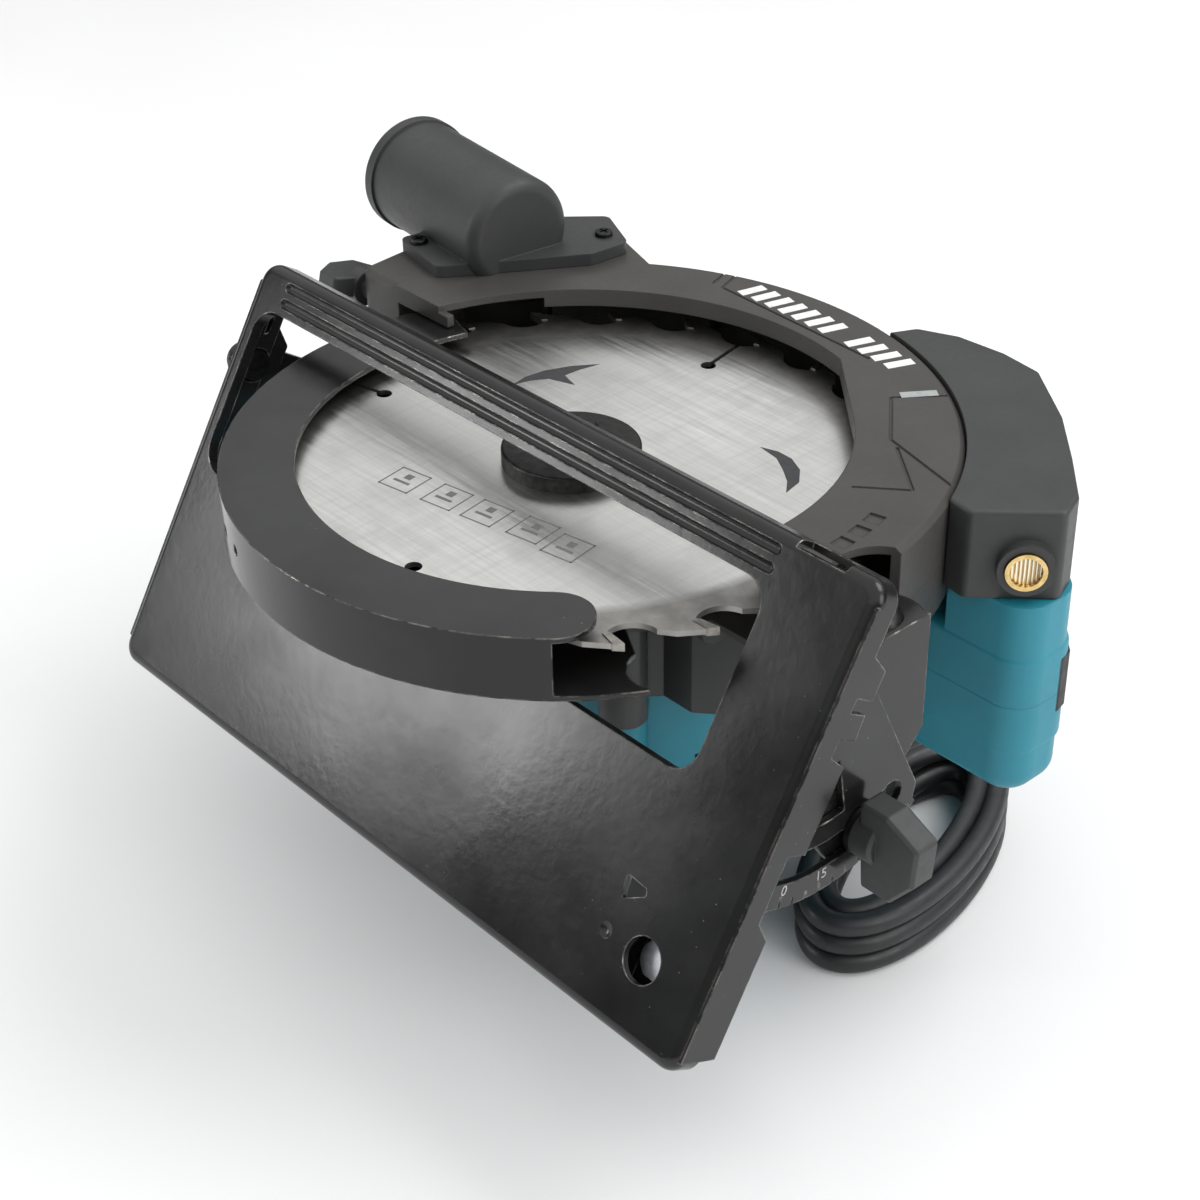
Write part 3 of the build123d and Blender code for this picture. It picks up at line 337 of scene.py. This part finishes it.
def flat_mark(name, colour, rough):
    """Printed or etched mark, a little uneven."""
    shader = Shader(name)
    cloud = shader.noise(600.0, 4.0)
    worn = tuple(channel * 0.82 for channel in colour)
    shader.link(shader.ramp(cloud, [(0.3, worn), (0.6, colour)]), shader.main.inputs["Base Color"])
    shader.link(shader.ramp(cloud, [(0.3, rough + 0.1), (0.7, rough)]), shader.main.inputs["Roughness"])
    return shader.material


def glass_lens():
    """Ribbed amber lens, with painted glints as pale bands along the ribs."""
    shader = Shader("lens_glass")
    ribs = shader.node("ShaderNodeTexWave", wave_type="BANDS", Scale=420.0, Distortion=0.0)
    shader.link(shader.place(), ribs.inputs["Vector"])
    # Painted highlight: the colour runs from dark amber to near white along the ribs, glints painted over
    # the lens's own amber tint.
    shader.link(shader.ramp(ribs.outputs["Color"], [(0.2, (0.50, 0.32, 0.12)), (0.8, (1.0, 0.90, 0.66))]),
                shader.main.inputs["Base Color"])
    shader.bump(ribs.outputs["Color"], 0.6, 0.0003)
    shader.set(Roughness=0.12, Metallic=0.55, Coat_Weight=1.0, Coat_Roughness=0.03)
    return shader.material


def assign(material, *names):
    """Give a material to CAD nodes."""
    for name in names:
        for slot in NODES[name].material_slots:
            slot.material = material


# ---------------------------------------------------------------- materials of the CAD nodes
def dress_nodes():
    black = enamel("black_enamel")
    assign(black, "base_plate", "bevel_quadrant", "rear_upright", "fence_bracket", "front_bracket",
           "depth_guide", "lower_guard", "guard_lever")
    assign(plastic("guard_plastic", (0.052, 0.050, 0.047), 0.46), "upper_guard", "guard_cover")
    dark = plastic("dark_plastic", (0.040, 0.042, 0.041), 0.50)
    assign(dark, "dust_port", "laser_housing", "motor_end_cap", "brush_caps", "trigger",
           "trigger_switch", "lock_off_button", "spindle_lock_button", "cooling_fan",
           "bevel_knob", "rear_knob", "plug_body")
    assign(plastic("teal_plastic", (0.018, 0.225, 0.300), 0.44, variation=0.06),
           "motor_housing", "handle_left", "handle_right")
    assign(plastic("gear_case_paint", (0.045, 0.046, 0.046), 0.40, grain=900.0), "gear_housing")
    assign(blade_steel(), "blade")
    assign(steel("carbide", (0.40, 0.38, 0.34), (0.24, 0.23, 0.22), 0.38), "blade_tips")
    assign(steel("machined_steel", (0.60, 0.60, 0.60), (0.45, 0.45, 0.45), 0.32), "spindle",
           "inner_flange", "armature_shaft", "driven_gear", "pinion", "spindle_bearings",
           "armature_bearings", "guard_spring", "guard_retaining_ring")
    assign(steel("black_oxide", (0.060, 0.058, 0.056), (0.030, 0.030, 0.030), 0.40), "outer_flange",
           "blade_bolt", "depth_pin", "bevel_pins", "depth_bolt", "guard_screws",
           "gear_housing_screws", "handle_screws", "bevel_knob_screw")
    assign(steel("zinc_plate", (0.78, 0.80, 0.82), (0.60, 0.62, 0.66), 0.28), "fence_screw",
           "base_rivets")
    assign(steel("lamination_steel", (0.36, 0.36, 0.37), (0.22, 0.22, 0.23), 0.5,
                 (0.02, 0.02, 1.0), 1800.0, 0.4), "stator", "armature_core")
    assign(steel("copper", (0.85, 0.45, 0.28), (0.62, 0.30, 0.18), 0.3), "commutator")
    assign(rubber("carbon", (0.02, 0.02, 0.02), 0.6), "carbon_brushes")
    assign(steel("brass", (0.80, 0.60, 0.28), (0.55, 0.38, 0.15), 0.25), "laser_barrel", "plug_pins")
    assign(glass_lens(), "laser_lens")
    assign(rubber("soft_rubber", (0.020, 0.020, 0.020), 0.6), "grip_pad", "strain_relief")


# ---------------------------------------------------------------- marks
def plate_mesh(name, outlines, thickness, place, material, body):
    """Thin flat pieces from 2-D outlines in millimetres, put in place by a matrix."""
    mesh = bpy.data.meshes.new(name)
    work = bmesh.new()
    for outline in outlines:
        low = [work.verts.new((x * MM, y * MM, 0.0)) for x, y in outline]
        face = work.faces.new(low)
        extruded = bmesh.ops.extrude_face_region(work, geom=[face])
        moved = [item for item in extruded["geom"] if isinstance(item, bmesh.types.BMVert)]
        bmesh.ops.translate(work, verts=moved, vec=(0, 0, thickness))
    bmesh.ops.recalc_face_normals(work, faces=work.faces)
    bmesh.ops.transform(work, matrix=place, verts=work.verts)
    work.to_mesh(mesh)
    work.free()
    piece = bpy.data.objects.new(name, mesh)
    bpy.context.collection.objects.link(piece)
    mesh.materials.append(material)
    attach(piece, body)
    return piece


# Two curved arrows etched on the blade, as outlines in millimetres from its middle.
REAR_ARROW = [
    (-44.7, 16.1), (-43.2, 21.6), (-40.4, 26.4), (-32.1, 29.4), (-38.7, 31.2), (-38.4, 37.0),
    (-37.0, 43.6), (-41.8, 36.8), (-45.2, 28.8), (-46.0, 22.0),
]
FRONT_ARROW = [
    (30.9, 42.2), (38.4, 41.0), (44.2, 37.6), (49.3, 34.0), (53.4, 29.4), (51.9, 36.0),
    (47.4, 41.0), (41.6, 43.8), (36.2, 44.0),
]
SQUARE_PLACES = [(-22.2, -40.7), (-7.2, -38.1), (6.6, -35.6), (21.5, -32.3), (34.5, -31.6)]
SQUARE_SIZE = 10.5
SQUARE_LINE = 0.45
SQUARE_TURN = 10.0
BLADE_FACE = 0.80            # heights above the middle of the blade
COVER_FACE = 11.98
ETCHED = 0.04                # thicknesses of the marks
PRINTED = 0.12
STRIP_BARS = 12
STRIP_GAP = 7                # place in the strip that stays empty
SCALE_PIVOT = (120.0, -22.0, -8.0)
SCALE_ZERO = 13.9            # angle of the label 0, from the base's motor side
LABEL_RADIUS = 52.0
LABEL_SIZE = 4.2
LABEL_LIFT = 0.03


def turned(x, y, dx, dy, turn):
    """Point at an offset from a centre, turned about the centre by an angle in degrees."""
    cos_turn, sin_turn = math.cos(math.radians(turn)), math.sin(math.radians(turn))
    return (x + dx * cos_turn - dy * sin_turn, y + dx * sin_turn + dy * cos_turn)


def bar(x, y, width, height, turn):
    """Outline of a turned rectangle."""
    corners = ((-1, -1), (1, -1), (1, 1), (-1, 1))
    return [turned(x, y, dx * width / 2, dy * height / 2, turn) for dx, dy in corners]


def square_frame(x, y, size, line, turn):
    """Four thin bars round a square."""
    shift = (size - line) / 2
    sides = ((0, 1, size, line), (0, -1, size, line), (1, 0, line, size), (-1, 0, line, size))
    bars = []
    for dx, dy, width, height in sides:
        middle = turned(x, y, dx * shift, dy * shift, turn)
        bars.append(bar(*middle, width, height, turn))
    return bars


def blade_marks():
    """Curved arrows and plain squares etched on the blade's face."""
    ink = flat_mark("etched_mark", (0.035, 0.036, 0.038), 0.5)
    grey = flat_mark("etched_grey", (0.13, 0.13, 0.13), 0.5)
    face = Matrix.Translation(blade_point(0, 0, BLADE_FACE))
    plate_mesh("blade_arrows", [REAR_ARROW, FRONT_ARROW], ETCHED * MM, face, ink, "blade_spindle")
    squares = []
    for x, y in SQUARE_PLACES:
        squares += square_frame(x, y, SQUARE_SIZE, SQUARE_LINE, SQUARE_TURN)
        squares.append(bar(x, y - 1.2, 5.6, 1.0, SQUARE_TURN))
        squares.append(bar(x - 0.4, y + 1.8, 2.4, 2.4, SQUARE_TURN))
    plate_mesh("blade_squares", squares, ETCHED * MM, face, grey, "blade_spindle")


def guard_marks():
    """Row of white bars in two groups, and one grey tick, printed on the guard's face."""
    white = flat_mark("white_print", (0.82, 0.82, 0.80), 0.45)
    strip = []
    for index in range(STRIP_BARS):
        along = index / (STRIP_BARS - 1)
        x, y = -25 + 63 * along, 95.0 - 4.2 * along * along
        if index != STRIP_GAP:
            strip.append(bar(x, y, 3.4, 8.6, -14 - 8 * along))
    cover = Matrix.Translation(blade_point(0, 0, COVER_FACE))
    plate_mesh("guard_strip", strip, PRINTED * MM, cover, white, "saw")
    light = flat_mark("grey_print", (0.36, 0.38, 0.38), 0.4)
    plate_mesh("guard_tick", [bar(54.0, 81.0, 3.2, 10.5, -36)], PRINTED * MM, cover, light, "saw")


def scale_labels():
    """Degree labels on the rim of the bevel quadrant."""
    ink = flat_mark("scale_ink", (0.46, 0.46, 0.45), 0.5)
    toward = Vector((0, -math.sin(BEVEL), -math.cos(BEVEL)))
    upward = Vector((0, math.cos(BEVEL), -math.sin(BEVEL)))
    forward = Vector((1, 0, 0))
    pivot = blade_point(*SCALE_PIVOT)
    for index, label in enumerate(("0", "15", "30", "45")):
        angle = math.radians(SCALE_ZERO + 15 * index)
        text = bpy.data.curves.new("label_" + label, "FONT")
        text.body = label
        text.size = LABEL_SIZE * MM
        text.extrude = ETCHED * MM
        text.align_x = "CENTER"
        text.align_y = "CENTER"
        holder = bpy.data.objects.new("scale_label_" + label, text)
        outward = toward * math.cos(angle) + upward * math.sin(angle)
        reading = outward.cross(forward)
        turn = Matrix((-reading, -outward, forward)).transposed().to_4x4()
        place = pivot + outward * LABEL_RADIUS * MM + forward * LABEL_LIFT * MM
        mesh = bpy.data.meshes.new_from_object(holder)
        mesh.transform(Matrix.Translation(place) @ turn)
        piece = bpy.data.objects.new("scale_label_" + label, mesh)
        bpy.context.collection.objects.link(piece)
        mesh.materials.clear()
        mesh.materials.append(ink)
        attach(piece, "base")
        bpy.data.objects.remove(holder)


# ---------------------------------------------------------------- studio
def make_floor():
    bpy.ops.mesh.primitive_plane_add(size=6.0, location=(0, 0, FLOOR))
    floor = bpy.context.object
    floor.name = "floor"
    shader = Shader("pale_floor")
    tone = shader.noise(3.0, 2.0)
    shader.link(shader.ramp(tone, [(0.3, (0.86, 0.86, 0.86)), (0.7, (0.90, 0.90, 0.90))]),
                shader.main.inputs["Base Color"])
    shader.set(Roughness=0.9)
    floor.data.materials.append(shader.material)


def make_world():
    """Bright dome over a dark band near the horizon, which the enamel reflects."""
    world = bpy.data.worlds.new("studio")
    world.use_nodes = True
    tree = world.node_tree
    background = tree.nodes["Background"]
    place = tree.nodes.new("ShaderNodeTexCoord")
    split = tree.nodes.new("ShaderNodeSeparateXYZ")
    sky = tree.nodes.new("ShaderNodeValToRGB")
    sky.color_ramp.elements[0].position = 0.28
    sky.color_ramp.elements[0].color = (0.10, 0.105, 0.115, 1)
    sky.color_ramp.elements[1].position = 0.52
    sky.color_ramp.elements[1].color = (1.0, 1.0, 1.0, 1)
    tree.links.new(place.outputs["Generated"], split.inputs[0])
    tree.links.new(split.outputs["Z"], sky.inputs["Fac"])
    tree.links.new(sky.outputs["Color"], background.inputs["Color"])
    background.inputs["Strength"].default_value = 1.05
    bpy.context.scene.world = world


def make_lights():
    area("key", (0.45, 0.55, 1.2), (0, 0, 0.12), 0.8, 7.0)
    area("fill", (1.1, 0.2, 0.55), (0.05, 0, 0.1), 0.7, 4.0)
    area("reflection_haze", (-0.75, -0.85, 0.36), (0, 0, 0.14), 0.35, 2.8)
    bpy.context.scene.view_settings.view_transform = "Standard"


def area(name, place, target, size, power):
    """Round area light aimed at a target."""
    data = bpy.data.lights.new(name, "AREA")
    data.shape = "DISK"
    data.size = size
    data.energy = power
    light = bpy.data.objects.new(name, data)
    light.location = place
    aim = Vector(target) - Vector(place)
    light.rotation_euler = aim.to_track_quat("-Z", "Y").to_euler()
    bpy.context.collection.objects.link(light)


make_camera()
make_cord()
dress_nodes()
blade_marks()
guard_marks()
scale_labels()
make_floor()
make_world()
make_lights()

bpy.context.view_layer.update()
